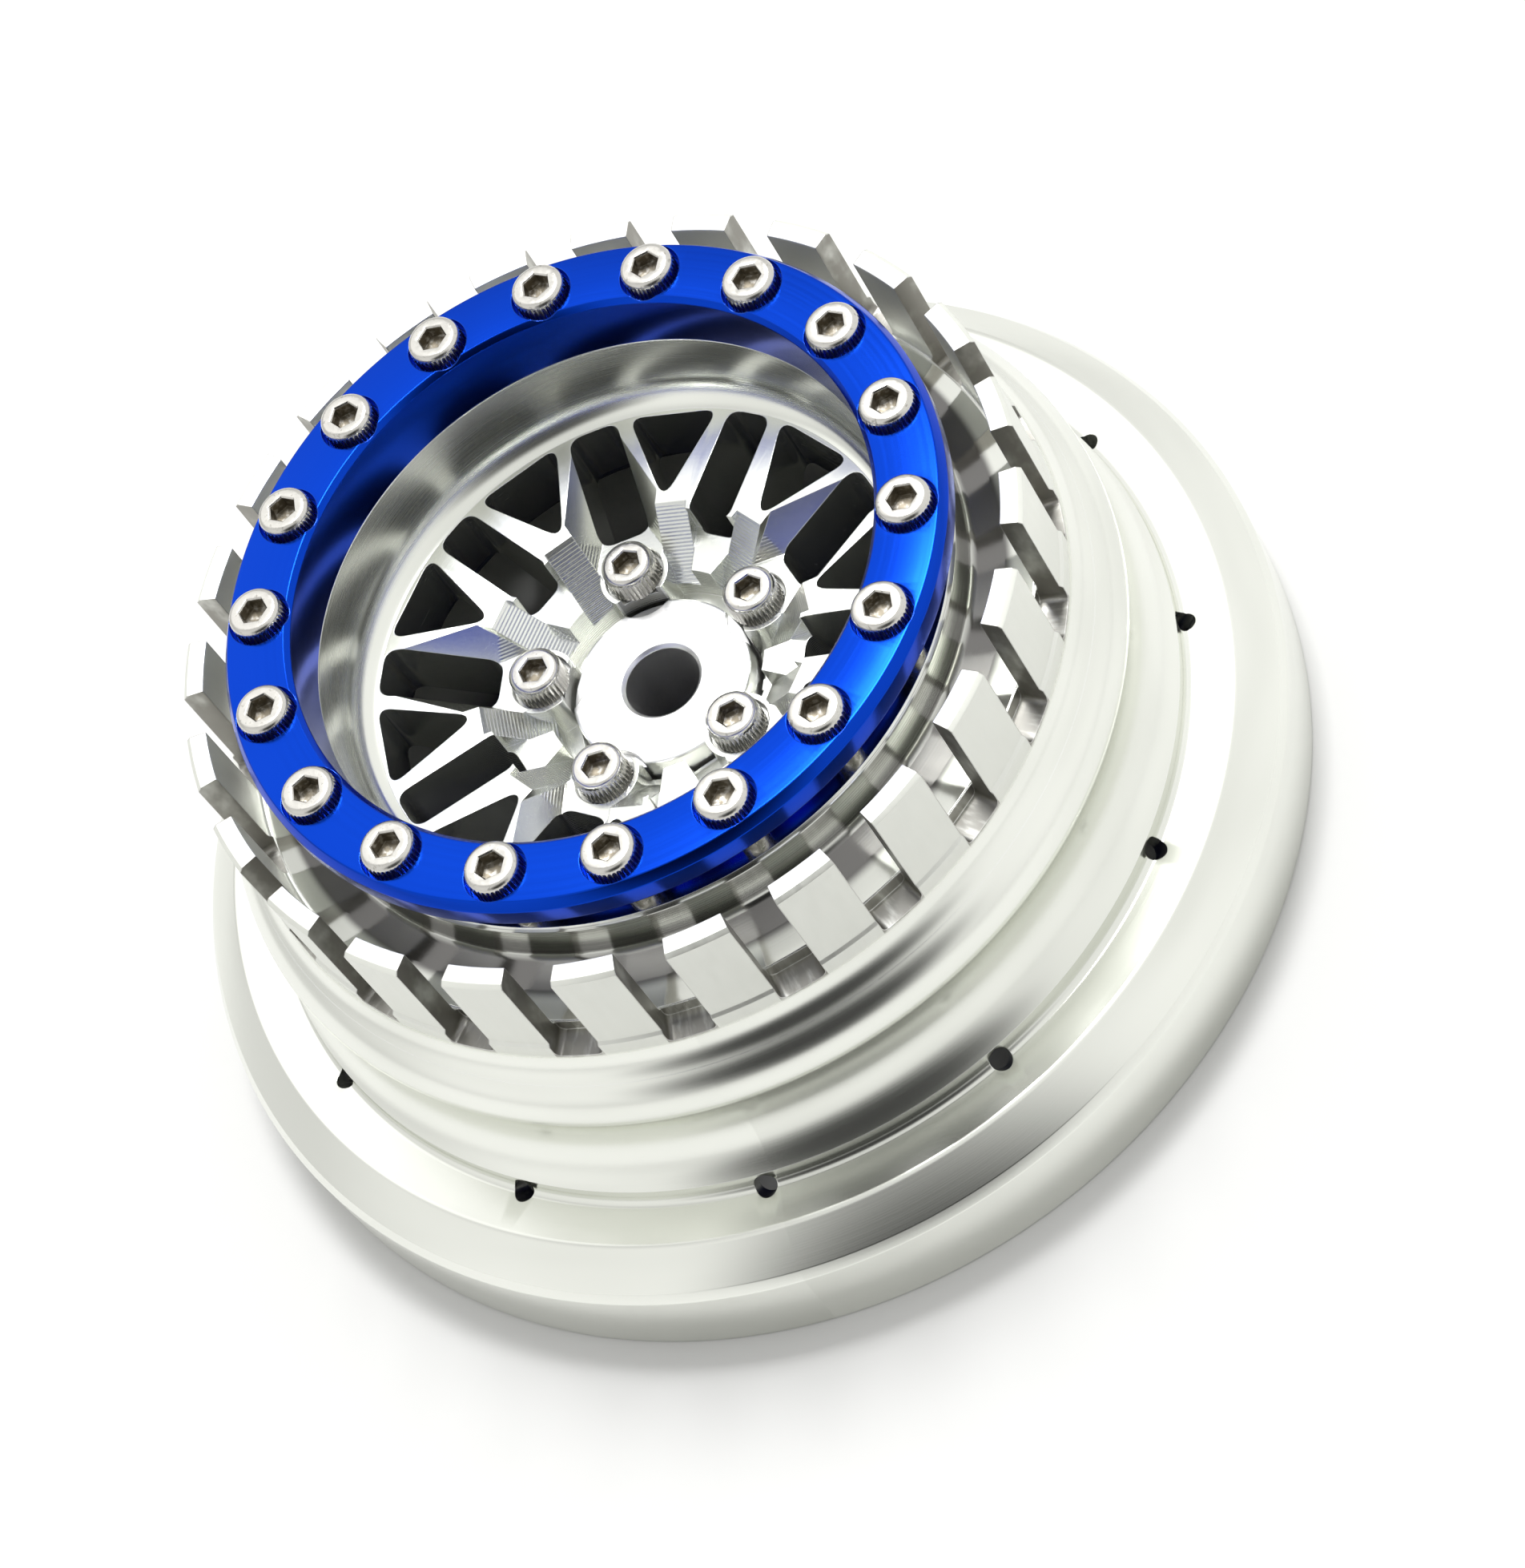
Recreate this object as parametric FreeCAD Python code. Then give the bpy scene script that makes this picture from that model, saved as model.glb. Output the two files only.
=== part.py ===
"""Model-car beadlock wheel: one-piece rim, clamp ring, hex hub and their cap screws.

Lengths are millimetres. The wheel axis is Z, the wheel lies on its rear flange at Z = 0,
and the clamp ring faces up. Each node is written to parts/ as its own STEP file.
"""
import FreeCAD, Part
import math
import os

V = FreeCAD.Vector

# Cutters run this far past the faces they open
overrun = 1.0

# Cap screws, the same size in the clamp ring and in the hub
head_radius = 2.2
head_height = 2.5
head_edge = 0.35          # bevel round the top of a head
socket_flat = 2.0         # hex key size
socket_depth = 1.2
shank_radius = 1.2
shank_play = 0.15         # shank to its hole, all round
ring_screw_length = 10.0
hub_screw_length = 8.0
tap_runout = 0.6          # tapped hole beyond the screw's end
ring_screw_count = 18
hub_screw_count = 5

# Clamp ring
barrel_radius = 23.85     # clear opening of the ring and of the rim's front barrel
sleeve_wall = 1.1         # pilot sleeve that reaches down to the rim
sleeve_length = 3.0
sleeve_play = 0.2         # sleeve to the tapped holes
ring_thickness = 2.5
ring_margin = 0.85        # ring metal outside the screw heads
ring_bevel_width = 0.5
ring_bevel_height = 0.8
ring_inner_bevel = 0.4
bore_depth = 1.4          # counterbore for a screw head
bore_play = 0.3           # head to its counterbore

# Rim, front end
neck_wall = 0.25          # metal left outside a tapped hole
neck_edge = 0.3
neck_drop = 0.9           # neck face below the spigot that carries the sleeve
channel_width = 4.6       # bead channel between the neck and the toothed collar
channel_depth = 3.95      # at the neck
channel_mid_fall = 1.2    # fall of the floor to its crease
channel_end_fall = 2.7    # fall of the floor to the collar
collar_wall = 1.75
collar_edge_width = 0.36
collar_edge_height = 0.3
collar_height = 9.1       # plain land of the collar with its top edge
collar_foot = 0.25        # step out below the land
ledge_height = 1.6        # from the step down to the hump's fillet
slot_count = 24
slot_width = 3.9
slot_rise = 0.1           # slot floor over the start of the hump's fillet
slot_step = 0.8           # slot floor below the channel floor
slot_run_in = 0.3         # slot cut past the collar's inner wall
slot_corner = 0.6

# Rim, drop centre and rear flange
flange_band = 7.2         # plain band the wheel stands on
band_edge = 0.2
rim_edge_width = 0.48     # bevel between the band and the sloped flange face
rim_edge_height = 0.84
flange_slope_width = 3.02
flange_slope_height = 2.16
seat_width = 4.0          # rear bead seat, from the drop centre to the flange
seat_fall = 0.3           # bead seat falls from the flange face to its groove
seat_step = 1.6           # small step over the seat groove
groove_radius = 0.7
hump_rise = 3.0           # hump outside the collar's foot
seat_out = 1.3            # bead seat's inner edge outside the hump
hump_back_curve = 1.6
hump_back_angle = 30.0
drop_curve = 6.77
hump_curve = 3.6
foot_curve = 2.8
lip_wall = 2.2
drum_wall = 1.9
web_wall = 2.4
vent_count = 12
vent_radius = 0.9
vent_tilt = 40.0          # degrees from the wheel axis
first_vent = -1.5         # degrees from the first ring screw

# Spokes
spoke_drop = 7.3          # spoke faces below the barrel's front edge
shelf_width = 1.65        # sloped shelf from the barrel to the windows
shelf_curve = 2.4
spoke_fall = 0.6          # arms fall this much from the shelf to the split
ramp_fall = 6.3           # stem from the split down to the hub nose
ramp_length = 6.0
pad_drop = 2.75           # flat pads between the stems, below the split
barrel_back_wall = 3.0
barrel_tail = 6.2         # barrel below the spoke faces
spoke_web = 4.8           # depth of the arms at the shelf
arm_count = 10
long_slot_width = 3.8     # windows between the hub screws
long_slot_reach = 2.95    # from the middle of the hub screws to these windows
long_pad_past = 0.45      # pad beside the end of a long window
short_slot_width = 4.3    # windows outside the hub screws
short_slot_reach = 3.5
short_bevel_lean = 1.2    # rise of the bevels beside these windows, over their width
slot_window_corner = 1.2
arm_tip = 1.05            # arm width at the shelf
fork_reach = 0.3          # from the split to the window inside a fork
fork_corner = 0.85
stem_in = 0.7             # stem edge on the screw side of its axis
stem_out = 1.95           # stem edge on the long window's side of its axis
first_hub_screw = 3.6     # degrees from the first ring screw

# Hex hub
nose_radius = 7.5
nose_play = 0.3
nose_height = 4.6         # nose in front of the hub flange
hub_screw_reach = 2.16    # from the nose to the middle of a hub screw
hub_web = 2.6             # rim metal between the nose end of a ramp and the hub
seat_drop = 0.7           # screw seat below the pads
pocket_play = 0.35        # head to its counterbore in the pad
pocket_wall = 0.35        # boss metal round a counterbore
recess_play = 1.4         # open ring between the hub hole and the pads
scallop_play = 0.9        # head to the relief in the nose edge
scallop_depth = 0.6
hub_flange_margin = 0.75  # hub flange outside the screws
hub_flange_thickness = 3.2
hub_tail_radius = 9.0
hub_tail_length = 6.8
axle_radius = 3.1
axle_edge = 0.3
hex_flat = 12.0
hex_depth = 5.0

# Radii that follow
sleeve_radius = barrel_radius + sleeve_wall
tap_radius = shank_radius + shank_play
screw_circle = sleeve_radius + sleeve_play + tap_radius
neck_radius = screw_circle + tap_radius + neck_wall
collar_inner = neck_radius + channel_width
collar_radius = collar_inner + collar_wall
foot_radius = collar_radius + collar_foot
ring_radius = screw_circle + head_radius + ring_margin
hump_radius = foot_radius + hump_rise
seat_radius = hump_radius + seat_out
crest_radius = seat_radius + seat_width
flange_radius = crest_radius + flange_slope_width + rim_edge_width
spoke_ring_radius = barrel_radius - shelf_width
hub_hole_radius = nose_radius + nose_play
hub_screw_circle = nose_radius + hub_screw_reach
split_radius = hub_hole_radius + ramp_length
fork_radius = split_radius + fork_reach
pocket_radius = head_radius + pocket_play
recess_radius = hub_hole_radius + recess_play
short_slot_start = hub_screw_circle + short_slot_reach
long_slot_start = hub_screw_circle + long_slot_reach
short_bevel_end = math.sqrt(spoke_ring_radius ** 2 - (short_slot_width / 2) ** 2) - slot_window_corner
hub_flange_radius = hub_screw_circle + head_radius + hub_flange_margin

# Slopes of the drop centre: steepest lean of each curve, in degrees
foot_lean = math.degrees(math.acos(1 - (hump_radius - foot_radius) / (foot_curve + hump_curve)))
hump_back = (hump_back_curve + drop_curve) * (1 - math.cos(math.radians(hump_back_angle)))
valley_radius = hump_radius - hump_back
seat_lean = math.degrees(math.acos(1 - (seat_radius - valley_radius) / drop_curve))

# Heights that follow, from the table up
flange_edge_z = flange_band + rim_edge_height
flange_crest_z = flange_edge_z + flange_slope_height
groove_z = flange_crest_z - seat_fall
seat_z = groove_z + seat_step
valley_z = seat_z + drop_curve * math.sin(math.radians(seat_lean))
hump_z = valley_z + (drop_curve + hump_back_curve) * math.sin(math.radians(hump_back_angle))
foot_z = hump_z + (hump_curve + foot_curve) * math.sin(math.radians(foot_lean))
land_z = foot_z + ledge_height
collar_z = land_z + collar_height
slot_floor_z = foot_z + slot_rise
channel_end_z = slot_floor_z + slot_step
channel_start_z = channel_end_z + channel_end_fall
neck_z = channel_start_z + channel_depth
spigot_z = neck_z + neck_drop
ring_under_z = spigot_z + sleeve_length
ring_z = ring_under_z + ring_thickness
ring_seat_z = ring_z - bore_depth
spoke_z = spigot_z - spoke_drop
split_z = spoke_z - spoke_fall
ramp_z = split_z - ramp_fall
hub_face_z = ramp_z - hub_web
pad_z = split_z - pad_drop
hub_seat_z = pad_z - seat_drop


class Outline:
    """Closed section in the XZ plane, walked from point to point."""

    def __init__(self, r, z):
        self.start = V(r, 0, z)
        self.here = self.start
        self.edges = []

    def line(self, r, z):
        there = V(r, 0, z)
        self.edges.append(Part.LineSegment(self.here, there).toShape())
        self.here = there
        return self

    def arc(self, centre_r, centre_z, radius, first, last):
        """Arc about a centre from one direction to another, degrees from +R to +Z."""
        def at(angle):
            turn = math.radians(angle)
            return V(centre_r + radius * math.cos(turn), 0, centre_z + radius * math.sin(turn))
        begin = at(first)
        if begin.distanceToPoint(self.here) > 1e-6:
            self.line(begin.x, begin.z)
        end = at(last)
        self.edges.append(Part.Arc(begin, at((first + last) / 2), end).toShape())
        self.here = end
        return self

    def face(self):
        if self.here.distanceToPoint(self.start) > 1e-6:
            self.line(self.start.x, self.start.z)
        return Part.Face(Part.Wire(self.edges))

    def revolve(self):
        return self.face().revolve(V(0, 0, 0), V(0, 0, 1), 360)


def around(shape, count, first=0.0):
    """Copies of a shape, evenly spaced about the wheel axis."""
    copies = []
    for i in range(count):
        copy = shape.copy()
        copy.rotate(V(0, 0, 0), V(0, 0, 1), first + 360.0 * i / count)
        copies.append(copy)
    return copies


def rod(radius, x, low, high):
    """Upright cylinder beside the axis."""
    return Part.makeCylinder(radius, high - low, V(x, 0, low))


def hexagon(flat, low, high):
    """Upright hexagonal prism on the axis."""
    corner = flat / math.sqrt(3)
    points = []
    for i in range(7):
        turn = math.radians(60 * i)
        points.append(V(corner * math.cos(turn), corner * math.sin(turn), low))
    return Part.Face(Part.makePolygon(points)).extrude(V(0, 0, high - low))


def cap_screw(length, seat):
    """Socket cap screw, head sitting at the given height."""
    top = seat + head_height
    body = Outline(0, seat - length)
    body.line(shank_radius, seat - length)
    body.line(shank_radius, seat)
    body.line(head_radius, seat)
    body.line(head_radius, top - head_edge)
    body.line(head_radius - head_edge, top)
    body.line(0, top)
    socket = hexagon(socket_flat, top - socket_depth, top + overrun)
    return body.revolve().cut(socket)


def screw_set(count, first, circle, length, seat):
    """A circle of cap screws, each its own solid."""
    screw = cap_screw(length, seat)
    screw.translate(V(circle, 0, 0))
    return Part.makeCompound(around(screw, count, first))


def clamp_ring():
    """Ring with a pilot sleeve, bevelled edges and counterbored screw holes."""
    body = Outline(barrel_radius, spigot_z)
    body.line(sleeve_radius, spigot_z)
    body.line(sleeve_radius, ring_under_z)
    body.line(ring_radius, ring_under_z)
    body.line(ring_radius, ring_z - ring_bevel_height)
    body.line(ring_radius - ring_bevel_width, ring_z)
    body.line(barrel_radius + ring_inner_bevel, ring_z)
    body.line(barrel_radius, ring_z - ring_inner_bevel)
    hole = rod(tap_radius, screw_circle, ring_under_z - overrun, ring_z)
    bore = rod(head_radius + bore_play, screw_circle, ring_seat_z, ring_z + overrun)
    return body.revolve().cut(around(hole.fuse(bore), ring_screw_count))


def rim_shell():
    """Turned body of the rim: barrel, neck, channel, collar, drop centre and rear flange."""
    lean_drop = hump_back_angle
    inner_drum = valley_radius - drum_wall
    sweep_r = valley_radius + drop_curve
    shelf_r = barrel_radius - shelf_curve
    shelf_end = math.degrees(math.acos((spoke_ring_radius - shelf_r) / shelf_curve))
    shelf_z = spoke_z + shelf_curve * math.sin(math.radians(shelf_end))
    barrel_back = spoke_ring_radius + barrel_back_wall
    tail_z = spoke_z - barrel_tail
    web_z = channel_end_z - web_wall
    lip_radius = flange_radius - lip_wall

    body = Outline(barrel_radius, spigot_z)
    body.line(sleeve_radius, spigot_z)
    body.line(sleeve_radius, neck_z)
    body.line(neck_radius - neck_edge, neck_z)
    body.line(neck_radius, neck_z - neck_edge)
    body.line(neck_radius, channel_start_z)
    body.line((neck_radius + collar_inner) / 2, channel_start_z - channel_mid_fall)
    body.line(collar_inner, channel_end_z)
    body.line(collar_inner, collar_z)
    body.line(collar_radius - collar_edge_width, collar_z)
    body.line(collar_radius, collar_z - collar_edge_height)
    body.line(collar_radius, land_z)
    body.line(foot_radius, land_z - collar_foot)
    body.arc(foot_radius + foot_curve, foot_z, foot_curve, 180, 180 + foot_lean)
    body.arc(hump_radius - hump_curve, hump_z, hump_curve, foot_lean, 0)
    body.arc(hump_radius - hump_back_curve, hump_z, hump_back_curve, 0, -lean_drop)
    body.arc(sweep_r, valley_z, drop_curve, 180 - lean_drop, 180 + seat_lean)
    body.arc(seat_radius + groove_radius, groove_z + groove_radius, groove_radius, 180, 270)
    body.line(crest_radius, flange_crest_z)
    body.line(flange_radius - rim_edge_width, flange_edge_z)
    body.line(flange_radius, flange_band)
    body.line(flange_radius, band_edge)
    body.line(flange_radius - band_edge, 0)
    body.line(lip_radius, 0)
    body.line(lip_radius, flange_band - web_wall)
    body.line(crest_radius, flange_crest_z - web_wall)
    body.line(seat_radius, groove_z - web_wall)
    body.line(inner_drum, valley_z - drop_curve / 2)
    body.line(inner_drum, hump_z)
    body.line(collar_inner, channel_end_z - web_wall)
    body.line(neck_radius, web_z)
    body.line(barrel_back, spoke_z - spoke_web / 2)
    body.line(barrel_back, tail_z)
    body.line(spoke_ring_radius, tail_z)
    body.line(spoke_ring_radius, spoke_z)
    body.arc(shelf_r, shelf_z, shelf_curve, -shelf_end, 0)
    return body.revolve()


def collar_slot():
    """Cutter for one slot between two teeth, rounded at the corners of its floor."""
    inner = collar_inner - slot_run_in
    length = foot_radius + foot_curve - inner
    height = collar_z + overrun - slot_floor_z
    cutter = Part.makeBox(length, slot_width, height, V(inner, -slot_width / 2, slot_floor_z))
    low = [e for e in cutter.Edges
           if e.BoundBox.ZMax < slot_floor_z + 1e-6 and e.BoundBox.XLength > slot_width]
    return cutter.makeFillet(slot_corner, low)


def vent():
    """Cutter for one slanted air hole through the rear bead groove."""
    lean = math.radians(vent_tilt)
    reach = 2 * web_wall
    way = V(-math.sin(lean), 0, -math.cos(lean))
    middle = V(seat_radius + groove_radius / 2, 0, groove_z + groove_radius / 2)
    return Part.makeCylinder(vent_radius, 2 * reach, middle - way * reach, way)


def spider_plate():
    """Plate that the spokes are cut from: arms falling from the shelf to the split, flat inside it."""
    outer = spoke_ring_radius + barrel_back_wall / 2
    body = Outline(hub_hole_radius, hub_face_z)
    body.line(hub_flange_radius + nose_play, hub_face_z)
    body.line(outer, spoke_z - spoke_web)
    body.line(outer, spoke_z)
    body.line(spoke_ring_radius, spoke_z)
    body.line(split_radius, split_z)
    body.line(hub_hole_radius, split_z)
    return body.revolve()


def plan_cutter(points, low):
    """Cutter drawn up from a plan outline, through the front of the spokes."""
    loop = Part.makePolygon([V(x, y, low) for x, y in points + points[:1]])
    return Part.Face(loop).extrude(V(0, 0, spoke_z + overrun - low))


def round_upright(cutter, corner):
    """The same cutter with its upright edges rounded."""
    upright = [e for e in cutter.Edges if e.BoundBox.ZLength > e.BoundBox.XLength + e.BoundBox.YLength]
    return cutter.makeFillet(corner, upright)


def slot_window(start, width):
    """Straight window between two arms of neighbouring forks."""
    half = width / 2
    end = math.sqrt(spoke_ring_radius ** 2 - half ** 2)
    points = [(start, -half), (end, -half), (end, half), (start, half)]
    return round_upright(plan_cutter(points, hub_face_z - overrun), slot_window_corner)


def fork_window(left_width, right_width):
    """Three-cornered window inside a fork, leaving an arm beside each slot."""
    half_pitch = 180.0 / arm_count
    points = [(fork_radius, 0)]
    for side, width in ((-1, right_width), (1, left_width)):
        edge = math.degrees(math.asin((width / 2 + arm_tip) / spoke_ring_radius))
        turn = math.radians(side * (half_pitch - edge))
        points.append((spoke_ring_radius * math.cos(turn), spoke_ring_radius * math.sin(turn)))
    return round_upright(plan_cutter(points, hub_face_z - overrun), fork_corner)


def pad_pocket(stem_edge, end):
    """Cutter down to the pad between two stems, its sides along the stems."""
    half_pitch = math.radians(180.0 / arm_count)
    start = hub_hole_radius - overrun
    points = []
    for side, reach in ((-1, start), (-1, end), (1, end), (1, start)):
        along = (reach - stem_edge * math.sin(half_pitch)) / math.cos(half_pitch)
        across = along * math.sin(half_pitch) - stem_edge * math.cos(half_pitch)
        points.append((reach, side * across))
    return plan_cutter(points, pad_z)


def bevel_pocket():
    """Cutter down to the pad at a hub screw, with a bevel up each arm that fades out at the shelf."""
    start = hub_hole_radius - overrun
    length = short_bevel_end - start
    climb = (spoke_z - pad_z) / (short_bevel_end - short_slot_start)
    keel = pad_z - climb * (short_slot_start - start) - short_bevel_lean * short_slot_width / 2
    half = (spoke_z + overrun - keel) / short_bevel_lean
    corners = [V(start, 0, keel)]
    for side in (1, -1):
        corners.append(V(start, side * half, keel + short_bevel_lean * half))
    face = Part.Face(Part.makePolygon(corners + corners[:1]))
    return face.extrude(V(length, 0, climb * length)).common(pad_pocket(stem_in, short_bevel_end))


def ramp_cutter(near, far):
    """Cutter above the sloped face of one stem, from one edge of the stem to the other."""
    slope = ramp_fall / ramp_length
    start = hub_hole_radius - overrun
    body = Outline(start, ramp_z - slope * overrun)
    body.line(split_radius, split_z)
    body.line(split_radius, spoke_z + overrun)
    body.line(start, spoke_z + overrun)
    blank = body.face().extrude(V(0, far - near, 0))
    blank.translate(V(0, near, 0))
    return blank


def spider():
    """Forked spokes: stems as milled ramps between flat pads, screw bosses, and the windows."""
    pitch = 360.0 / arm_count
    pairs = arm_count // 2
    long_first = first_hub_screw + pitch
    left_first = first_hub_screw + pitch / 2
    right_first = first_hub_screw - pitch / 2
    cuts = around(bevel_pocket(), pairs, first_hub_screw)
    cuts += around(pad_pocket(stem_out, long_slot_start + long_pad_past), pairs, long_first)
    cuts += around(ramp_cutter(-stem_in, stem_out), pairs, left_first)
    cuts += around(ramp_cutter(-stem_out, stem_in), pairs, right_first)
    cuts.append(rod(recess_radius, 0, ramp_z, spoke_z + overrun))
    plate = spider_plate().cut(cuts)
    boss = rod(pocket_radius + pocket_wall, hub_screw_circle, hub_face_z, pad_z)
    plate = plate.fuse(around(boss, hub_screw_count, first_hub_screw))
    cuts = [rod(hub_hole_radius, 0, hub_face_z - overrun, spoke_z)]
    cuts += around(slot_window(short_slot_start, short_slot_width), pairs, first_hub_screw)
    cuts += around(slot_window(long_slot_start, long_slot_width), pairs, long_first)
    cuts += around(fork_window(long_slot_width, short_slot_width), pairs, left_first)
    cuts += around(fork_window(short_slot_width, long_slot_width), pairs, right_first)
    pocket = rod(pocket_radius, hub_screw_circle, hub_seat_z, spoke_z)
    hole = rod(tap_radius, hub_screw_circle, hub_face_z - overrun, spoke_z)
    cuts += around(pocket.fuse(hole), hub_screw_count, first_hub_screw)
    return plate.cut(cuts)


def wheel_rim():
    """Rim machined from one billet."""
    tap_end = ring_seat_z - ring_screw_length - tap_runout
    cuts = around(rod(tap_radius, screw_circle, tap_end, spigot_z), ring_screw_count)
    cuts += around(collar_slot(), slot_count)
    cuts += around(vent(), vent_count, first_vent)
    return rim_shell().cut(cuts).fuse(spider()).removeSplitter()


def hex_hub():
    """Hub behind the spokes: nose through the rim, screw flange and hex socket at the back."""
    back = hub_face_z - hub_flange_thickness
    tail = back - hub_tail_length
    nose = hub_face_z + nose_height
    body = Outline(axle_radius, tail)
    body.line(hub_tail_radius, tail)
    body.line(hub_tail_radius, back)
    body.line(hub_flange_radius, back)
    body.line(hub_flange_radius, hub_face_z)
    body.line(nose_radius, hub_face_z)
    body.line(nose_radius, nose)
    body.line(axle_radius + axle_edge, nose)
    body.line(axle_radius, nose - axle_edge)
    cuts = [hexagon(hex_flat, tail - overrun, tail + hex_depth)]
    tap = rod(tap_radius, hub_screw_circle, back - overrun, hub_face_z + overrun)
    cuts += around(tap, hub_screw_count, first_hub_screw)
    relief = rod(head_radius + scallop_play, hub_screw_circle, nose - scallop_depth, nose + overrun)
    cuts += around(relief, hub_screw_count, first_hub_screw)
    return body.revolve().cut(cuts)


def main():
    os.makedirs("parts", exist_ok=True)
    nodes = {
        "wheel_rim": wheel_rim(),
        "clamp_ring": clamp_ring(),
        "ring_screws": screw_set(ring_screw_count, 0, screw_circle, ring_screw_length, ring_seat_z),
        "hex_hub": hex_hub(),
        "hub_screws": screw_set(hub_screw_count, first_hub_screw, hub_screw_circle,
                                hub_screw_length, hub_seat_z),
    }
    for name, shape in nodes.items():
        shape.exportStep("parts/" + name + ".step")


main()
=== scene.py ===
"""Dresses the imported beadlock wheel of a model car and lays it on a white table.

Sizes are millimetres inside the classes and metres in the meshes. The wheel axis is Z, the
rear flange lies on the table at Z = 0 and the clamp ring faces up.
"""
import logging
import math
from dataclasses import dataclass, field
from enum import Enum
from typing import NamedTuple

import bmesh
import bpy
import numpy as np
from bpy.types import Material, Object
from mathutils import Matrix, Vector

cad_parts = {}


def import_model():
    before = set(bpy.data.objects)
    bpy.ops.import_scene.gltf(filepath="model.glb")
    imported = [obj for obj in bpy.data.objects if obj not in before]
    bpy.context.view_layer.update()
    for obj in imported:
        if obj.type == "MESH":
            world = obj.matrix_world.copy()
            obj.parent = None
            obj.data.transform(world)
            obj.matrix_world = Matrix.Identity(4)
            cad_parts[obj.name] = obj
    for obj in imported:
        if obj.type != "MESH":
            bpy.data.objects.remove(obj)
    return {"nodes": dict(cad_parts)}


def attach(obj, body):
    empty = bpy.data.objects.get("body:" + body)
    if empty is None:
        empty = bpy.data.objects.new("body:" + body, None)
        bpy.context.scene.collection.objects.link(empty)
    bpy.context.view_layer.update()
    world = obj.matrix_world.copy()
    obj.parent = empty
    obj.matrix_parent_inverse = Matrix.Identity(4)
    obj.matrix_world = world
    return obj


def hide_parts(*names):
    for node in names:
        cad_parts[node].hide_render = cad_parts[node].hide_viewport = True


MM = 0.001
LOG = logging.getLogger("wheel")


Shell = tuple[np.ndarray, np.ndarray]
Solid = tuple[np.ndarray, list[list[int]]]
Colour = tuple[float, float, float, float]


class Node(Enum):
    """CAD nodes that the visual pieces stand for."""

    RIM = "wheel_rim"
    RING = "clamp_ring"
    RING_SCREWS = "ring_screws"
    HUB = "hex_hub"
    HUB_SCREWS = "hub_screws"


class Slot(Enum):
    """Material slots of the record."""

    RIM = "rim_metal"
    RING = "ring_blue"
    SCREW = "screw_steel"
    HUB = "hub_metal"


class Operation(Enum):
    """What a tool does to a piece."""

    CUT = "DIFFERENCE"
    JOIN = "UNION"


@dataclass
class Section:
    """Section in radius and height, walked corner by corner; each corner has a rounding."""

    corners: list[np.ndarray] = field(default_factory=list)

    def line(self, radius: float, height: float, rounding: float = 0.0) -> "Section":
        """Adds one corner.

        Args:
            radius: distance from the axis, mm.
            height: height over the table, mm.
            rounding: radius of the rounding at this corner, mm.
        Returns:
            The section itself.
        """
        self.corners.append(np.array([[radius, height, rounding]]))
        return self

    def arc(self, centre: tuple[float, float], radius: float, first: float, last: float,
            steps: int = 16) -> "Section":
        """Adds an arc: centre + radius * (cos a, sin a) for a from first to last degrees.

        Args:
            centre: middle of the arc in radius and height, mm.
            radius: radius of the arc, mm.
            first: direction of its first point, degrees.
            last: direction of its last point, degrees.
            steps: number of chords.
        Returns:
            The section itself.
        """
        turn = np.radians(np.linspace(first, last, steps + 1))
        points = np.column_stack((centre[0] + radius * np.cos(turn), centre[1] + radius * np.sin(turn),
                                  np.zeros(steps + 1)))
        self.corners.append(points)
        return self

    def points(self, steps: int = 4) -> np.ndarray:
        """Rounds every corner: the arc touches both sides at rounding / tan(half the corner).

        Args:
            steps: chords in a rounding.
        Returns:
            Points (n, 2), without doubles.
        """
        corners = np.vstack(self.corners)
        return rounded(corners[:, :2], corners[:, 2], steps)


def rounded(corners: np.ndarray, radii: np.ndarray, steps: int) -> np.ndarray:
    """Replaces each corner of a closed outline by an arc that is tangent to its two sides.

    The arc is taken as a quadratic curve from tangent point to tangent point with the corner as its
    handle, which stays within a tenth of the rounding of a true arc.

    Args:
        corners: points (n, 2).
        radii: rounding of each point, 0 for sharp.
        steps: chords in each rounding.
    Returns:
        Points (m, 2) with doubles removed.
    """
    shortest, straight, most_of_side, double = 1e-9, 0.9999, 0.48, 1e-6
    to_before = np.roll(corners, 1, axis=0) - corners
    to_after = np.roll(corners, -1, axis=0) - corners
    long_before = np.maximum(np.linalg.norm(to_before, axis=1), shortest)
    long_after = np.maximum(np.linalg.norm(to_after, axis=1), shortest)
    to_before = to_before / long_before[:, None]
    to_after = to_after / long_after[:, None]
    cosine = np.clip((to_before * to_after).sum(1), -straight, straight)
    reach = radii / np.tan(np.arccos(cosine) / 2)
    reach = np.minimum(reach, most_of_side * np.minimum(long_before, long_after))
    share = np.linspace(0.0, 1.0, steps + 1)[None, :, None]
    start = (corners + to_before * reach[:, None])[:, None, :]
    end = (corners + to_after * reach[:, None])[:, None, :]
    middle = corners[:, None, :]
    curve = start * (1 - share) ** 2 + middle * 2 * share * (1 - share) + end * share ** 2
    points = curve.reshape(-1, 2)
    step = np.linalg.norm(points - np.roll(points, 1, axis=0), axis=1)
    return points[step > double]


def round_outline(radius: float, sides: int, offset: float = 0.0) -> np.ndarray:
    """Round outline (offset + r cos t, r sin t).

    Args:
        radius: its radius, mm.
        sides: its sides.
        offset: distance of its middle from the axis, mm.
    Returns:
        Points (sides, 2).
    """
    turn = np.linspace(0.0, 2 * np.pi, sides, endpoint=False)
    return np.column_stack((offset + radius * np.cos(turn), radius * np.sin(turn)))


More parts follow.
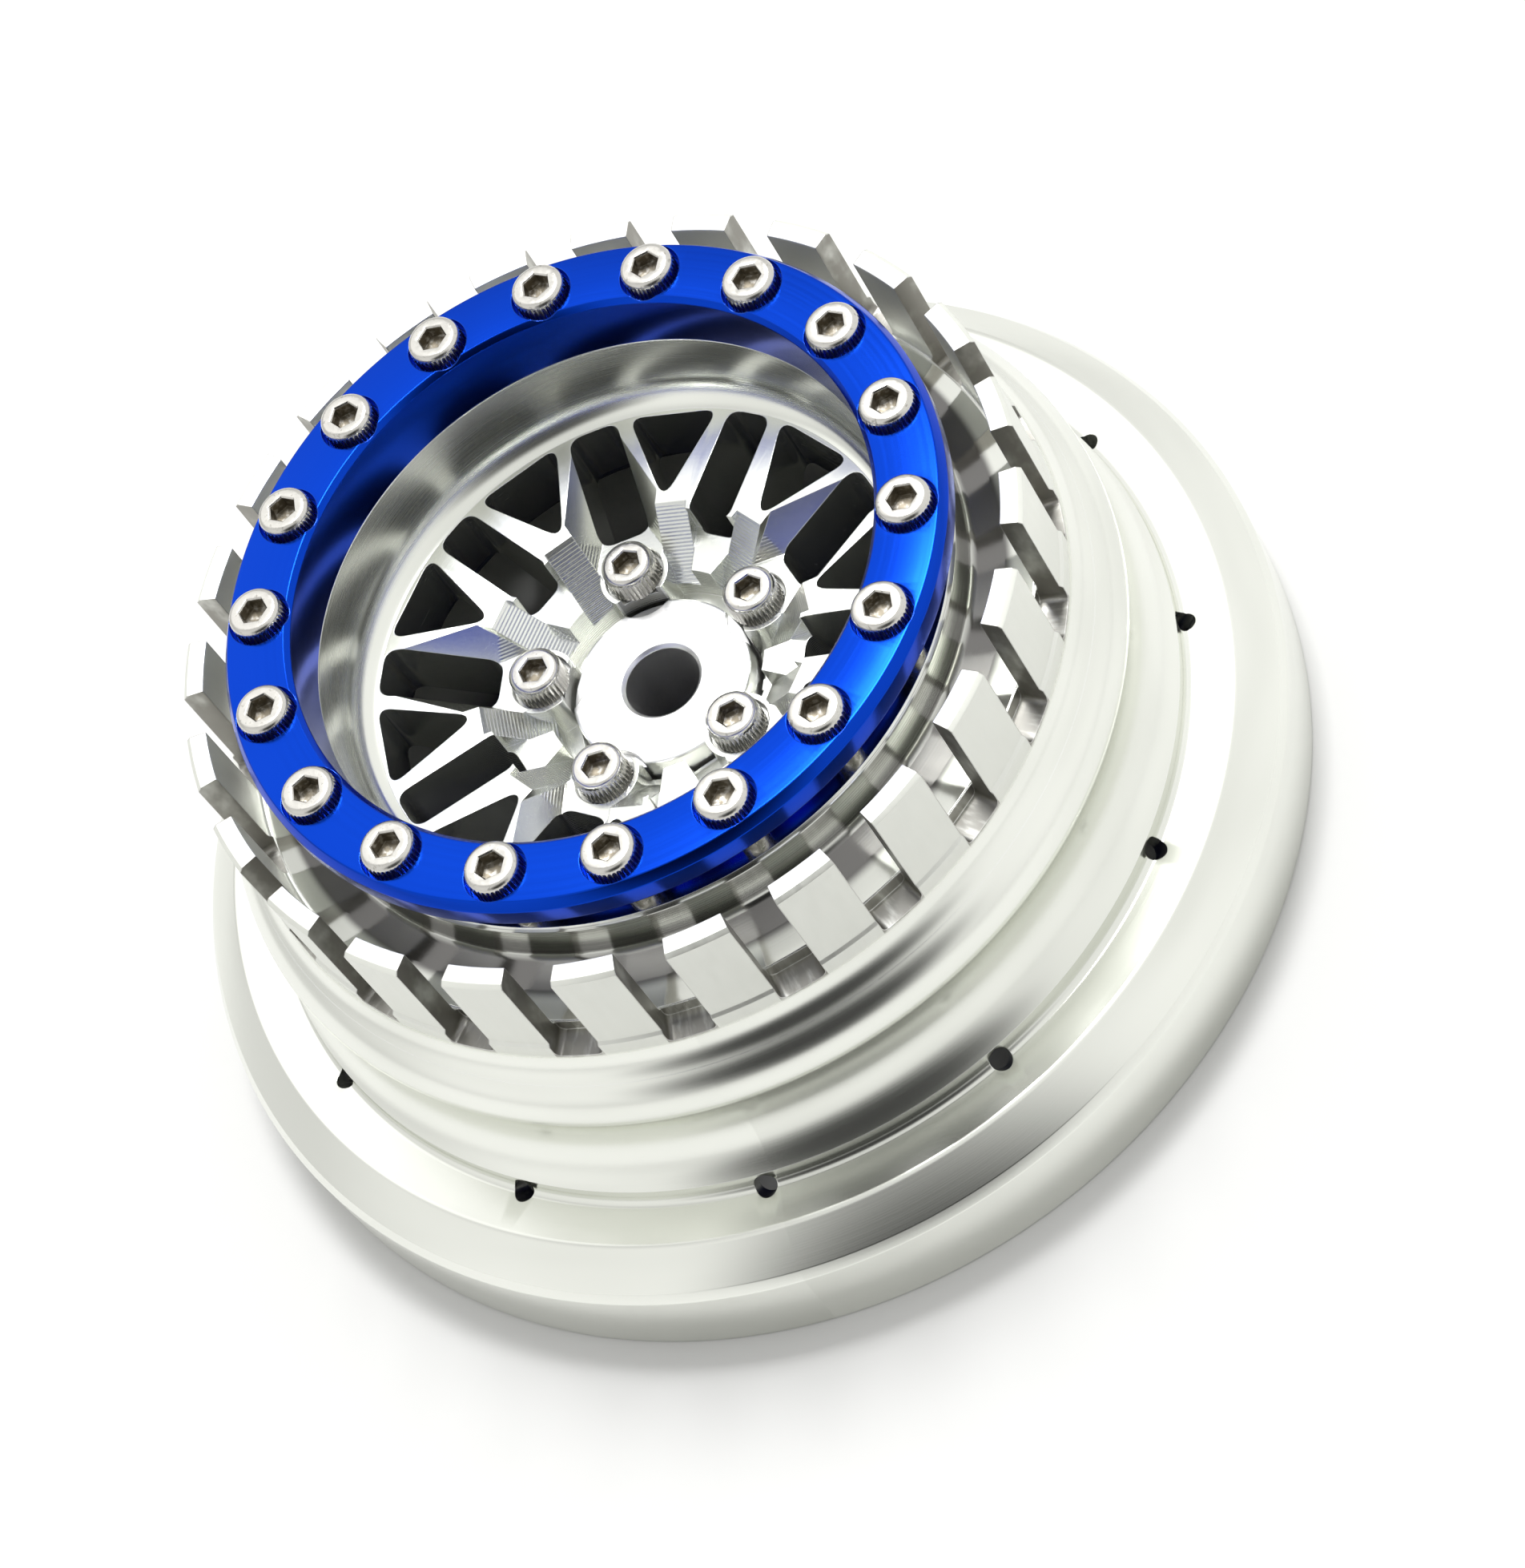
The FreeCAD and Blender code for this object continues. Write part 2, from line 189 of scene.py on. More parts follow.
def grid_faces(rows: int, columns: int, close_rows: bool) -> np.ndarray:
    """Quads of a grid whose last column joins the first, as index arithmetic on whole arrays.

    Args:
        rows: points along the first parameter.
        columns: points along the second parameter.
        close_rows: the last row joins the first.
    Returns:
        Faces (n, 4).
    """
    row = np.arange(rows if close_rows else rows - 1)[:, None]
    column = np.arange(columns)[None, :]
    next_row = (row + 1) % rows
    next_column = (column + 1) % columns
    faces = np.stack((row * columns + column, row * columns + next_column,
                      next_row * columns + next_column, next_row * columns + column), axis=-1)
    return faces.reshape(-1, 4)


def revolve(section: np.ndarray, segments: int) -> Shell:
    """Closed section turned about Z: (r cos t, r sin t, z) for t round the circle.

    Args:
        section: closed loop (n, 2) of radius and height, mm.
        segments: steps round the axis.
    Returns:
        Points in metres and quads that face outwards.
    """
    radius, height = section[:, 0], section[:, 1]
    area = np.sum(radius * np.roll(height, -1) - np.roll(radius, -1) * height)
    loop = section if area > 0 else section[::-1]
    turn = np.linspace(0.0, 2 * np.pi, segments, endpoint=False)
    points = np.stack((loop[:, :1] * np.cos(turn), loop[:, :1] * np.sin(turn),
                       np.repeat(loop[:, 1:], segments, axis=1)), axis=-1)
    return points.reshape(-1, 3) * MM, grid_faces(len(loop), segments, True)


def prism(outline: np.ndarray, low: float, high: float) -> Solid:
    """Closed outline (x, y) drawn straight up from low to high, with flat ends.

    Args:
        outline: loop (n, 2), mm, counter-clockwise.
        low: height of the lower end, mm.
        high: height of the upper end, mm.
    Returns:
        Points in metres and faces: one quad a side and two flat ends.
    """
    count = len(outline)
    ends = np.array([low, high])
    points = np.concatenate((np.repeat(outline[None], 2, axis=0),
                             np.broadcast_to(ends[:, None, None], (2, count, 1))), axis=2).reshape(-1, 3)
    caps = [list(range(count - 1, -1, -1)), list(range(count, 2 * count))]
    return points * MM, grid_faces(2, count, False).tolist() + caps


def spun(points: np.ndarray, count: int, first: float) -> np.ndarray:
    """Copies of a set of points, evenly spaced about Z.

    Args:
        points: points (n, 3).
        count: number of copies.
        first: angle of the first copy, degrees.
    Returns:
        Points (count, n, 3).
    """
    turn = np.radians(first) + np.arange(count) * 2 * np.pi / count
    cosine, sine = np.cos(turn)[:, None], np.sin(turn)[:, None]
    x, y, z = points[None, :, 0], points[None, :, 1], points[None, :, 2]
    level = np.broadcast_to(z, (count, len(points)))
    return np.stack((x * cosine - y * sine, x * sine + y * cosine, level), axis=-1)


def spun_shell(shell: Solid, count: int, first: float) -> Solid:
    """Copies of a shell about Z, joined in one set of points and faces.

    Args:
        shell: points and faces of one copy.
        count: number of copies.
        first: angle of the first copy, degrees.
    Returns:
        Points and faces of them all.
    """
    points, faces = shell
    copies = spun(points, count, first)
    joined = [[corner + i * len(points) for corner in face] for i in range(count) for face in faces]
    return copies.reshape(-1, 3), joined


def mesh_object(name: str, shell: Shell | Solid) -> Object:
    """Mesh object at the origin with its place in its points.

    Args:
        name: name of the object.
        shell: points and faces.
    Returns:
        The object, linked to the scene.
    """
    points, faces = shell
    mesh = bpy.data.meshes.new(name)
    if isinstance(faces, np.ndarray):
        mesh.vertices.add(len(points))
        mesh.vertices.foreach_set("co", np.ascontiguousarray(points, np.float32).ravel())
        mesh.loops.add(faces.size)
        mesh.loops.foreach_set("vertex_index", np.ascontiguousarray(faces, np.int32).ravel())
        mesh.polygons.add(len(faces))
        mesh.polygons.foreach_set("loop_start", np.arange(0, faces.size, faces.shape[1], dtype=np.int32))
        mesh.update(calc_edges=True)
    else:
        mesh.from_pydata(points.tolist(), [], faces)
        mesh.update()
    mesh.validate()
    piece = bpy.data.objects.new(name, mesh)
    bpy.context.scene.collection.objects.link(piece)
    return piece


def merge_doubles(mesh: bpy.types.Mesh, near: float = 0.003) -> None:
    """Merges points that lie closer than a limit and drops the faces that this leaves empty.

    Args:
        mesh: the mesh that changes.
        near: the limit, mm.
    """
    edit = bmesh.new()
    edit.from_mesh(mesh)
    bmesh.ops.remove_doubles(edit, verts=edit.verts, dist=near * MM)
    bmesh.ops.dissolve_degenerate(edit, dist=0.1 * near * MM, edges=edit.edges)
    edit.to_mesh(mesh)
    edit.free()


def combine(piece: Object, tools: list[Object], operation: Operation) -> None:
    """Cuts tools from a piece, or joins them to it, and keeps the result as its mesh.

    Args:
        piece: the object that changes.
        tools: closed objects; they are removed afterwards.
        operation: cut or join.
    """
    for tool in tools:
        modifier = piece.modifiers.new(tool.name, "BOOLEAN")
        modifier.operation = operation.value
        modifier.solver = "EXACT"
        modifier.object = tool
    bpy.context.view_layer.update()
    result = bpy.data.meshes.new_from_object(piece.evaluated_get(bpy.context.evaluated_depsgraph_get()))
    piece.modifiers.clear()
    merge_doubles(result)
    old = piece.data
    piece.data = result
    result.name = old.name
    bpy.data.meshes.remove(old)
    for tool in tools:
        data = tool.data
        bpy.data.objects.remove(tool)
        bpy.data.meshes.remove(data)


def smooth(piece: Object, angle: float = 28.0) -> None:
    """Smooth shading with edges sharper than the angle kept.

    Args:
        piece: the object.
        angle: limit in degrees.
    """
    mesh = piece.data
    mesh.polygons.foreach_set("use_smooth", np.ones(len(mesh.polygons), bool))
    mesh.set_sharp_from_angle(angle=math.radians(angle))


def install(piece: Object, node: Node, slot: Slot, material: Material) -> None:
    """Lets a piece ride on the wheel in the place of a CAD node.

    Args:
        piece: the visual piece.
        node: the CAD node it stands for.
        slot: the record's material slot; not used.
        material: its finish.
    """
    piece.data.materials.clear()
    piece.data.materials.append(material)
    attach(piece, "root")
    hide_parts(node.value)
    LOG.info("%s: %d faces", piece.name, len(piece.data.polygons))


class Value:
    """Wraps a shader socket, so that sums on values add their Math nodes."""

    def __init__(self, tree: bpy.types.NodeTree, socket: bpy.types.NodeSocket) -> None:
        """Keeps the tree and the socket."""
        self.tree = tree
        self.socket = socket

    def math(self, operation: str, *others: "Value | float", swap: bool = False) -> "Value":
        """Adds one Math node.

        Args:
            operation: the node's operation.
            others: further operands.
            swap: this value is the second operand.
        Returns:
            The node's result.
        """
        node = self.tree.nodes.new("ShaderNodeMath")
        node.operation = operation
        operands: list[Value | float] = [self, *others]
        if swap:
            operands = operands[::-1]
        for socket, operand in zip(node.inputs, operands):
            if isinstance(operand, Value):
                self.tree.links.new(operand.socket, socket)
            else:
                socket.default_value = operand
        return Value(self.tree, node.outputs[0])

    def __add__(self, other: "Value | float") -> "Value":
        """Sum."""
        return self.math("ADD", other)

    __radd__ = __add__

    def __sub__(self, other: "Value | float") -> "Value":
        """Difference."""
        return self.math("SUBTRACT", other)

    def __rsub__(self, other: float) -> "Value":
        """Number minus value."""
        return self.math("SUBTRACT", other, swap=True)

    def __mul__(self, other: "Value | float") -> "Value":
        """Product."""
        return self.math("MULTIPLY", other)

    __rmul__ = __mul__

    def step(self, low: float, high: float) -> "Value":
        """Smooth step from 0 at low to 1 at high; low may be over high."""
        if low <= high:
            return self._ramp(low, high)
        return 1.0 - self._ramp(high, low)

    def _ramp(self, low: float, high: float) -> "Value":
        """Smooth step from 0 at low to 1 at high."""
        node = self.tree.nodes.new("ShaderNodeMapRange")
        node.interpolation_type = "SMOOTHSTEP"
        self.tree.links.new(self.socket, node.inputs["Value"])
        node.inputs["From Min"].default_value = low
        node.inputs["From Max"].default_value = high
        return Value(self.tree, node.outputs["Result"])

    def nearest(self, count: int, first: float) -> "Value":
        """Angle from the nearest of some even divisions of the circle, the first one in degrees."""
        pitch = 2 * math.pi / count
        return (self - math.radians(first)).math("WRAP", pitch / 2, -pitch / 2)

    def band(self, low: float, high: float, soft: float) -> "Value":
        """Mask that is 1 between low and high with soft edges."""
        return self.step(low - soft, low + soft) * self.step(high + soft, high - soft)


Input = Value | float | Colour


class Place(NamedTuple):
    """Where a shaded point lies: its vector, radius and height in mm, and its angle in radians."""

    vector: Value
    radius: Value
    height: Value
    angle: Value


class Recipe:
    """The node tree of one material or of the world."""

    def __init__(self, owner: Material | bpy.types.World) -> None:
        """Empties the owner's tree."""
        self.owner = owner
        owner.use_nodes = True
        self.tree = owner.node_tree
        self.tree.nodes.clear()

    @classmethod
    def material(cls, name: str) -> "Recipe":
        """Recipe of a new material of that name."""
        return cls(bpy.data.materials.new(name))

    def node(self, kind: str, settings: dict[str, object] | None = None,
             inputs: dict[str, Input] | None = None, output: str | int = 0) -> Value:
        """Adds a node: its settings first, then the values or links of its sockets.

        Args:
            kind: the node's type.
            settings: attributes set on the node.
            inputs: socket name or number to a value or link.
            output: the output that is returned.
        Returns:
            The chosen output.
        """
        node = self.tree.nodes.new(kind)
        for key, setting in (settings or {}).items():
            setattr(node, key, setting)
        for key, given in (inputs or {}).items():
            socket = node.inputs[key]
            if isinstance(given, Value):
                self.tree.links.new(given.socket, socket)
            else:
                socket.default_value = given
        return Value(self.tree, node.outputs[output])

    def mix(self, share: Value, first: Value | Colour, second: Value | Colour) -> Value:
        """Colour between two colours.

        Args:
            share: 0 for the first, 1 for the second.
            first: colour or link.
            second: colour or link.
        Returns:
            The mixed colour.
        """
        factor, first_colour, second_colour, colour_result = 0, 6, 7, 2
        node = self.tree.nodes.new("ShaderNodeMix")
        node.data_type = "RGBA"
        self.tree.links.new(share.socket, node.inputs[factor])
        for number, colour in ((first_colour, first), (second_colour, second)):
            if isinstance(colour, Value):
                self.tree.links.new(colour.socket, node.inputs[number])
            else:
                node.inputs[number].default_value = colour
        return Value(self.tree, node.outputs[colour_result])

    def axes(self, vector: Value) -> tuple[Value, Value, Value]:
        """The three parts of a vector."""
        split = self.tree.nodes.new("ShaderNodeSeparateXYZ")
        self.tree.links.new(vector.socket, split.inputs[0])
        x, y, z = (Value(self.tree, socket) for socket in split.outputs)
        return x, y, z

    def place(self) -> Place:
        """Object coordinates, as a place about the wheel axis."""
        vector = self.node("ShaderNodeTexCoord", output="Object")
        scaled = self.node("ShaderNodeVectorMath", {"operation": "SCALE"}, {0: vector, "Scale": 1.0 / MM})
        x, y, z = self.axes(scaled)
        radius = (x * x + y * y).math("SQRT")
        return Place(scaled, radius, z, y.math("ARCTAN2", x))

    def edges(self, radius: float) -> tuple[Value, Value]:
        """Rounded shading of sharp edges.

        Args:
            radius: radius of the rounding, mm.
        Returns:
            The rounded normal, and a mask that is 1 along the edges.
        """
        soft = self.node("ShaderNodeBevel", {"samples": 6}, {"Radius": radius * MM})
        facing = self.node("ShaderNodeNewGeometry", output="Normal")
        match = self.node("ShaderNodeVectorMath", {"operation": "DOT_PRODUCT"}, {0: soft, 1: facing}, "Value")
        return soft, match.step(0.995, 0.93)

    def noise(self, x: Value, y: Value, z: Value, detail: float, rough: float = 0.55) -> Value:
        """Noise on three coordinates, a grain about 1 wide.

        Args:
            x: first coordinate.
            y: second coordinate.
            z: third coordinate.
            detail: octaves.
            rough: share of the finer octaves.
        Returns:
            Noise around 0.5.
        """
        vector = self.node("ShaderNodeCombineXYZ", None, {0: x, 1: y, 2: z})
        return self.node("ShaderNodeTexNoise", None,
                         {"Vector": vector, "Scale": 1.0, "Detail": detail, "Roughness": rough})

    def grain(self, vector: Value, scale: float, detail: float) -> Value:
        """Noise of a frequency and a number of octaves on a vector."""
        return self.node("ShaderNodeTexNoise", None, {"Vector": vector, "Scale": scale, "Detail": detail})

    def bump(self, relief: Value, normal: Value) -> Value:
        """Normal of a surface with relief in mm, over another normal."""
        return self.node("ShaderNodeBump", None, {
            "Height": relief, "Strength": 1.0, "Distance": MM, "Normal": normal})

    def metal(self, colour: Value | Colour, roughness: Value, normal: Value, turned: float = 0.0
              ) -> Material:
        """Closes the tree with a metal shader.

        Args:
            colour: base colour.
            roughness: roughness.
            normal: shading normal.
            turned: stretch of highlights across the turning lines, the same all over.
        Returns:
            The finished material.
        """
        shader = self.node("ShaderNodeBsdfPrincipled", None, {
            "Base Color": colour, "Roughness": roughness, "Metallic": 1.0, "Normal": normal,
            "Anisotropic": turned, "Anisotropic Rotation": 0.25})
        self.close(shader, "ShaderNodeOutputMaterial")
        return self.owner

    def close(self, shader: Value, kind: str) -> None:
        """Links a shader to an output node of that kind."""
        node = self.tree.nodes.new(kind)
        self.tree.links.new(shader.socket, node.inputs["Surface"])


@dataclass(frozen=True)
class ScrewCircle:
    """Equal cap screws on a circle: piece, node and finish, number, first angle, circle, seat, length."""

    piece: str
    node: Node
    finish: str
    count: int
    first: float
    circle: float
    seat: float
    length: float
    head_height: float = 2.5

    @property
    def top(self) -> float:
        """Height of the tops of the heads, mm."""
        return self.seat + self.head_height

    def away(self, place: Place) -> Value:
        """Distance from the axis of the nearest screw.

        The place beside that axis is (radius - circle, radius times the angle wrapped to half a pitch
        either way).

        Args:
            place: where the point lies.
        Returns:
            The distance, mm.
        """
        aside = place.angle.nearest(self.count, self.first) * place.radius
        along = place.radius - self.circle
        return (aside * aside + along * along).math("SQRT")


RING_SCREWS = ScrewCircle("ring_cap_screws", Node.RING_SCREWS, "ring_stainless", 18, 0.0, 26.5, 38.85, 10.0)
HUB_SCREWS = ScrewCircle("hub_cap_screws", Node.HUB_SCREWS, "hub_stainless", 5, 3.6, 9.66, 23.4, 8.0)


@dataclass(frozen=True)
class TurnedAlloy:
    """Bright machined alloy: turned body, teeth cut by a mill, stepped milling on the stems of the spokes,
    and painted shade in the slots (streaked like milling marks), the channel, the neck and the screw
    counterbores.
    """

    colour: Colour = (0.86, 0.872, 0.818, 1.0)
    worn: Colour = (0.95, 0.95, 0.94, 1.0)
    stained: Colour = (0.74, 0.752, 0.70, 1.0)
    land: Colour = (0.76, 0.77, 0.725, 1.0)
    # Painted shade of the slot walls and floors, laid in streaks like milling marks.
    milled_and_shaded: Colour = (0.34, 0.33, 0.30, 1.0)
    # Painted shade of the channel, the neck under the ring and the counterbores of the hub screws.
    shaded: Colour = (0.20, 0.195, 0.19, 1.0)
    polish: float = 0.15
    turned: float = 0.21
    matte: float = 0.44
    edge: float = 0.10
    ripple_pitch: float = 0.22
    stretch: float = 0.45
    slots: int = 24
    slot_width: float = 3.9
    pocket: float = 2.55
    pad: float = 24.1
    mask_end: float = 0.08
    mask_full: float = 0.03

    def in_slot(self, place: Place) -> Value:
        """Mask of the walls and floors of the slots between the teeth.

        The distance to the middle of the nearest slot is the radius times the angle, wrapped to half a
        pitch either way.

        Args:
            place: where the point lies.
        Returns:
            1 inside a slot, 0 outside.
        """
        aside = (place.angle.nearest(self.slots, 0.0) * place.radius).math("ABSOLUTE")
        return aside.step(self.slot_width / 2 + self.mask_end, self.slot_width / 2 + self.mask_full)

    def in_pocket(self, place: Place) -> Value:
        """Mask of the counterbores of the hub screws, where shade is painted.

        Args:
            place: where the point lies.
        Returns:
            1 inside a counterbore, 0 outside.
        """
        away = HUB_SCREWS.away(place)
        inside = away.step(self.pocket + self.mask_end, self.pocket + self.mask_full)
        return inside * place.height.step(self.pad, self.pad - 0.2)

    def make(self) -> Material:
        """Builds the material from height, radius and angle on the wheel.

        Returns:
            The material.
        """
        recipe = Recipe.material("turned_alloy")
        place = recipe.place()
        vector, radius, height, angle = place
        collar = radius.band(32.4, 35.2, 0.2) * height.step(26.0, 26.5)
        slot = collar * self.in_slot(place)
        neck = radius.band(27.9, 28.4, 0.1) * height.band(30.3, 34.0, 0.3)
        channel = radius.band(28.2, 30.8, 0.4) * height.band(28.3, 30.6, 0.4)
        drop = radius.step(32.0, 33.0) * height.band(11.2, 26.2, 0.3)
        flange = radius.step(38.6, 39.6) * height.step(12.9, 11.4)
        barrel = radius.band(22.6, 24.4, 0.2) * height.band(28.0, 34.8, 0.2)
        spokes = radius.step(22.6, 22.0) * height.step(18.9, 19.9)
        stem = spokes * radius.step(13.8, 13.4)
        turning = recipe.noise(radius * 9.0, height * 9.0, angle * 0.35, 4.0, 0.6)
        cloud = recipe.noise(radius * 0.12, height * 0.12, angle * 1.2, 2.0)
        milling = recipe.noise(angle * 55.0, radius * 0.4, height * 0.25, 3.0)
        grain = recipe.grain(vector, 5.0, 2.0)
        wave = (height * (2 * math.pi / self.ripple_pitch)).math("SINE")
        soft, wear = recipe.edges(self.edge)
        satin = self.turned - self.polish
        roughness = (self.polish + 0.10 * (turning - 0.5) + 0.08 * (cloud - 0.5)
                     + (flange + drop + 2.0 * barrel) * satin
                     + collar * (self.matte - self.polish + 0.2 * (milling - 0.5)) + spokes * 0.10)
        relief = 0.0012 * turning + collar * (0.003 * milling + 0.004 * grain) + stem * 0.008 * wave
        body = recipe.mix(cloud.step(0.35, 0.75), self.colour, self.stained)
        dull = recipe.mix(collar * height.step(36.85, 36.55), body, self.land)
        # Painted shade in the slots between the teeth, in streaks like milling marks.
        cut = recipe.mix(slot * milling.step(0.15, 0.55), dull, self.milled_and_shaded)
        # Painted shade in the channel, on the neck under the ring and in the counterbores of the hub screws.
        painted_shade = channel + neck * (0.2 + turning.step(0.35, 0.65) * 0.4) + self.in_pocket(place) * 0.6
        inside = recipe.mix(painted_shade.math("MINIMUM", 1.0), cut, self.shaded)
        colour = recipe.mix(wear * 0.7, inside, self.worn)
        return recipe.metal(colour, roughness, recipe.bump(relief, soft), self.stretch)


@dataclass(frozen=True)
class BlueAnodise:
    """Deep blue anodised ring with fine turning lines and pale worn edges."""

    colour: Colour = (0.004, 0.055, 0.56, 1.0)
    deep: Colour = (0.003, 0.042, 0.46, 1.0)
    worn: Colour = (0.06, 0.15, 0.62, 1.0)
    gloss: float = 0.19
    edge: float = 0.12

    def make(self) -> Material:
        """Builds the material.

        Returns:
            The material.
        """
        recipe = Recipe.material("blue_anodise")
        _, radius, height, angle = recipe.place()
        turning = recipe.noise(radius * 7.0, height * 7.0, angle * 0.3, 3.0)
        cloud = recipe.noise(radius * 0.1, height * 0.1, angle * 1.5, 2.0)
        soft, wear = recipe.edges(self.edge)
        body = recipe.mix(cloud, self.deep, self.colour)
        colour = recipe.mix(wear * 0.5, body, self.worn)
        return recipe.metal(colour, self.gloss + 0.10 * (turning - 0.5), recipe.bump(0.0010 * turning, soft))


@dataclass(frozen=True)
class Stainless:
    """Stainless cap screws, warm grey, with specks and a fine grain; brown and dull in the sockets."""

    screws: ScrewCircle
    colour: Colour = (0.64, 0.625, 0.59, 1.0)
    dark: Colour = (0.28, 0.27, 0.24, 1.0)
    inside: Colour = (0.22, 0.195, 0.15, 1.0)
    gloss: float = 0.22
    edge: float = 0.08

    def in_socket(self, place: Place) -> Value:
        """Mask of the sockets: near the axis of a screw and below its top.

        Args:
            place: where the point lies.
        Returns:
            1 in a socket, 0 outside.
        """
        top = self.screws.top
        return self.screws.away(place).step(1.25, 1.15) * place.height.step(top - 0.05, top - 0.35)

    def make(self) -> Material:
        """Builds the material.

        Returns:
            The material.
        """
        recipe = Recipe.material(self.screws.finish)
        place = recipe.place()
        speck, fine = recipe.grain(place.vector, 2.2, 4.0), recipe.grain(place.vector, 14.0, 2.0)
        soft, wear = recipe.edges(self.edge)
        socket = self.in_socket(place)
        head = recipe.mix(speck.step(0.58, 0.80), self.colour, self.dark)
        colour = recipe.mix(socket * speck.step(0.25, 0.55), head, self.inside)
        return recipe.metal(colour, self.gloss + 0.25 * (speck - 0.5) + 0.1 * wear + 0.15 * socket,
                            recipe.bump(0.003 * fine, soft))


@dataclass(frozen=True)
class FineTurned:
    """Finely turned hub: pale satin face with rings about the axle."""

    colour: Colour = (0.88, 0.88, 0.87, 1.0)
    gloss: float = 0.32
    edge: float = 0.12
    stretch: float = 0.3

    def make(self) -> Material:
        """Builds the material.

        Returns:
            The material.
        """
        recipe = Recipe.material("fine_turned")
        _, radius, height, angle = recipe.place()
        turning = recipe.noise(radius * 12.0, height * 8.0, angle * 0.3, 3.0)
        soft, _ = recipe.edges(self.edge)
        roughness = self.gloss + 0.12 * (turning - 0.5)
        return recipe.metal(self.colour, roughness, recipe.bump(0.0015 * turning, soft), self.stretch)


@dataclass
class Rim:
    """Turned body of the rim: barrel, neck, slotted collar, drop centre, bead seat and rear flange.

    Curves are held as middle, radius, first and last direction in degrees and number of chords, corners
    as radius, height and rounding.
    """

    segments: int = 432
    barrel: float = 23.85
    sleeve: float = 24.95
    spigot: float = 34.75
    neck: float = 28.1
    neck_top: float = 33.85
    floor_inner: tuple[float, float] = (28.1, 29.9)
    floor_crease: tuple[float, float] = (30.4, 28.7)
    collar_inner: float = 32.7
    floor_outer: float = 27.2
    collar: float = 34.45
    collar_top: float = 37.0
    land: float = 27.9
    foot: float = 34.7
    foot_height: float = 26.3
    foot_fillet: float = 2.8
    chamfer: float = 0.3
    slots: int = 24
    slot_width: float = 3.9
    slot_floor: float = 26.4
    slot_corner: float = 0.6
    vents: int = 12
    vent_radius: float = 0.9
    vent_first: float = -1.5
    vent_lean: float = 40.0
    vent_middle: tuple[float, float] = (39.35, 10.25)
    vent_reach: float = 4.8
    waist: tuple[tuple[tuple[float, float], float, float, float, int], ...] = (
        ((34.1, 20.85), 3.6, 57.9, 0.0, 14), ((36.1, 20.85), 1.6, 0.0, -30.0, 6),
        ((43.35, 16.67), 6.77, 150.0, 230.0, 28), ((39.7, 10.6), 0.7, 180.0, 270.0, 8))
    flange: tuple[tuple[float, float, float], ...] = (
        (43.0, 10.2, 0.8), (46.02, 8.04, 0.25), (46.5, 7.2, 0.2), (46.5, 0.2, 0.05), (46.3, 0.0, 0.05))
    inside: tuple[tuple[float, float, float], ...] = (
        (44.3, 0.0, 0.2), (44.3, 4.8, 0.6), (43.0, 7.8, 0.8), (39.0, 7.5, 1.5), (34.68, 13.3, 2.0),
        (34.68, 20.85, 2.0), (32.7, 24.8, 1.0), (28.1, 24.8, 1.0), (25.2, 25.05, 0.8), (25.2, 21.25, 0.4),
        (22.2, 21.25, 0.4), (22.2, 27.45, 0.0))
    shelf: tuple[tuple[float, float], float, float, float, int] = ((21.45, 29.73), 2.4, -71.8, 0.0, 12)

    def section(self) -> np.ndarray:
        """Section of the turned body.

        Returns:
            Closed loop of radius and height, mm.
        """
        walk = Section()
        walk.line(self.barrel, self.spigot, 0.1).line(self.sleeve, self.spigot, 0.1)
        walk.line(self.sleeve, self.neck_top).line(self.neck - self.chamfer, self.neck_top, 0.1)
        walk.line(self.neck, self.neck_top - self.chamfer, 0.15).line(*self.floor_inner, 0.8)
        walk.line(*self.floor_crease, 0.6).line(self.collar_inner, self.floor_outer, 0.5)
        walk.line(self.collar_inner, self.collar_top, 0.12).line(self.collar - 0.36, self.collar_top, 0.08)
        walk.line(self.collar, self.collar_top - self.chamfer, 0.08).line(self.collar, self.land, 0.1)
        walk.line(self.foot, self.land - 0.25, 0.1)
        walk.arc((self.foot + self.foot_fillet, self.foot_height), self.foot_fillet, 180.0, 237.9, 12)
        for curve in self.waist:
            walk.arc(*curve)
        for corner in self.flange + self.inside:
            walk.line(*corner)
        return walk.arc(*self.shelf).points()

    def slot_tool(self) -> Object:
        """Cutters of the slots between the teeth: boxes with round corners at the floor.

        Returns:
            One object with all of them.
        """
        half, top = self.slot_width / 2, self.collar_top + 1.0
        corners = np.array([(-half, self.slot_floor), (half, self.slot_floor), (half, top), (-half, top)])
        outline = rounded(corners, self.slot_corner * np.array([1.0, 1.0, 0.0, 0.0]), 6)
        points, faces = prism(outline, self.collar_inner - self.chamfer, self.foot + self.foot_fillet)
        radial = points[:, [2, 0, 1]]
        return mesh_object("slot_tool", spun_shell((radial, faces), self.slots, 0.0))

    def vent_tool(self) -> Object:
        """Cutters of the slanted air holes in the rear bead groove.

        Returns:
            One object with all of them.
        """
        points, faces = prism(round_outline(self.vent_radius, 24), -self.vent_reach, self.vent_reach)
        lean, (across, up) = math.radians(self.vent_lean), self.vent_middle
        x, y, z = points[:, 0], points[:, 1], points[:, 2]
        leaned = np.column_stack((x * math.cos(lean) + z * math.sin(lean) + across * MM, y,
                                  -x * math.sin(lean) + z * math.cos(lean) + up * MM))
        return mesh_object("vent_tool", spun_shell((leaned, faces), self.vents, self.vent_first))

    def build(self, finish: Material) -> None:
        """Makes the body of the rim and dresses it.

        Args:
            finish: the alloy.
        """
        body = mesh_object("rim_body", revolve(self.section(), self.segments))
        combine(body, [self.slot_tool(), self.vent_tool()], Operation.CUT)
        smooth(body)
        install(body, Node.RIM, Slot.RIM, finish)


